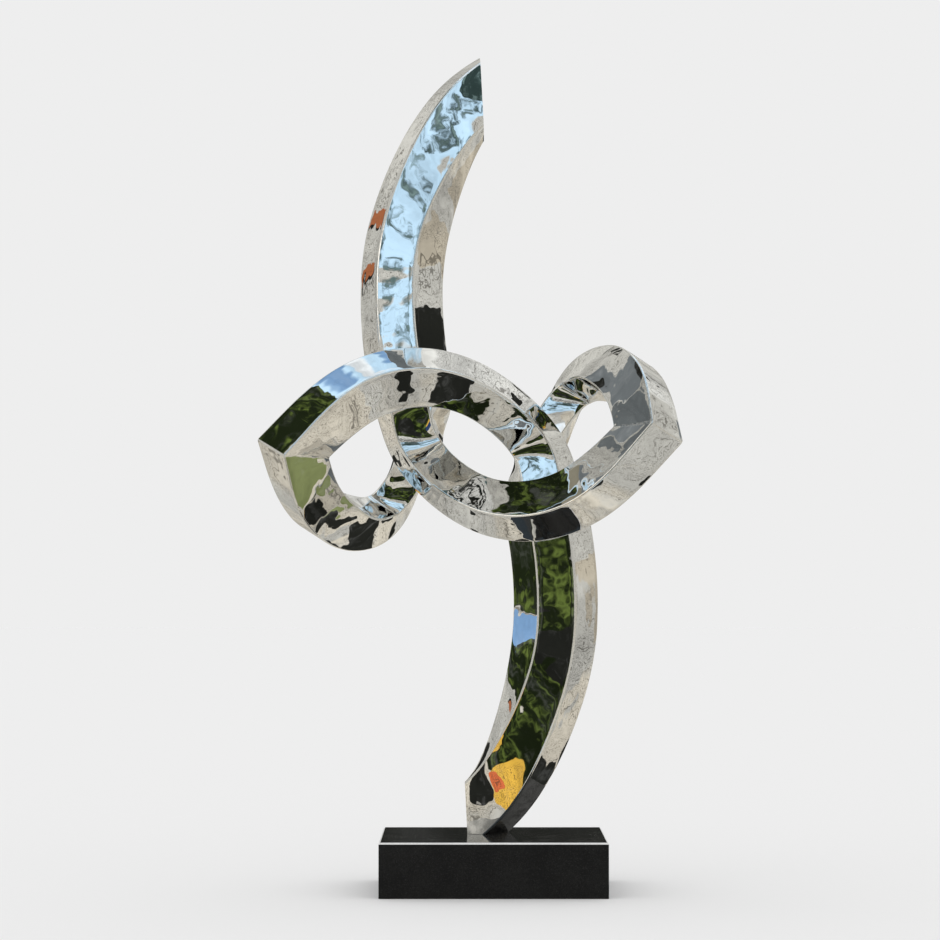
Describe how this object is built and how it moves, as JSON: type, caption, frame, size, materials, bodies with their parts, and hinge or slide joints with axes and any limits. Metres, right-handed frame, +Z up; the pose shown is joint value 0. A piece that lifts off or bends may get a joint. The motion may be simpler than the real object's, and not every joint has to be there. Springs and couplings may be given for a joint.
{
  "type": "abstract metal sculpture",
  "caption": "Abstract knot of mirror-polished square steel bar: two curved limbs, one up and one down, crossing and hooked into each other, standing on a low black stone plinth.",
  "frame": {"origin": "middle of the plinth's underside", "axes": "+Z up, -Y towards the front that the sculpture is seen from, +X to the viewer's right"},
  "size_m": [0.9844, 0.5828, 2.0242],
  "materials": {
    "granite": "polished black granite with a fine ground chamfer",
    "polished_steel": "mirror-polished stainless steel, slightly rippled, with polished weld seams along its edges"
  },
  "bodies": {
    "root": {"plinth": "granite", "steel_knot": "polished_steel"}
  },
  "joints": []
}
